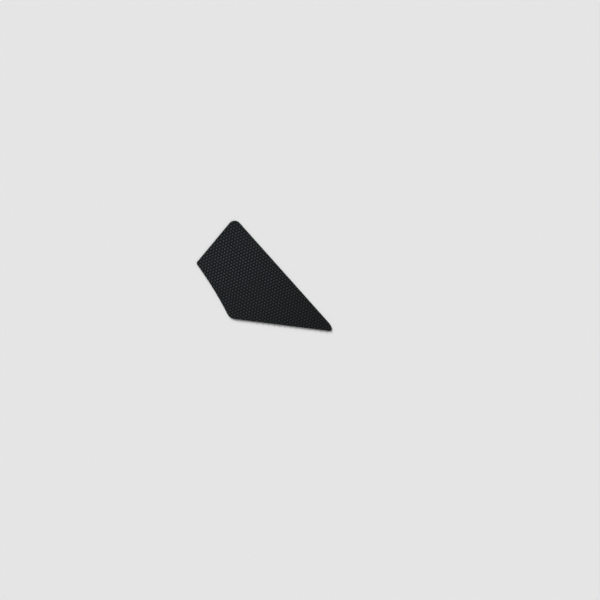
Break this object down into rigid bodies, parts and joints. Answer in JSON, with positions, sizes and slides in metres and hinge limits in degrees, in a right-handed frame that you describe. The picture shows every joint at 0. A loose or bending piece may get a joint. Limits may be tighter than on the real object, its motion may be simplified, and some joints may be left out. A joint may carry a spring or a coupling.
{
  "type": "motorcycle tank pad",
  "caption": "Kite-shaped moulded rubber knee-grip pad for the side of a motorcycle's fuel tank: a thin sheet covered all over in small round studs, with a flat back that sticks on.",
  "frame": {"origin": "centre of the cut outline's box, on the flat back that sticks to the tank", "axes": "+X towards the front of the motorcycle, +Y up the tank's side, +Z out of the tank through the studs, for the pad on the right-hand side"},
  "size_m": [0.2104, 0.1714, 0.0033],
  "materials": {
    "rubber": "near-black moulded rubber, satin, with a very fine mould grain"
  },
  "bodies": {
    "root": {"tank_pad": "rubber"}
  },
  "joints": []
}
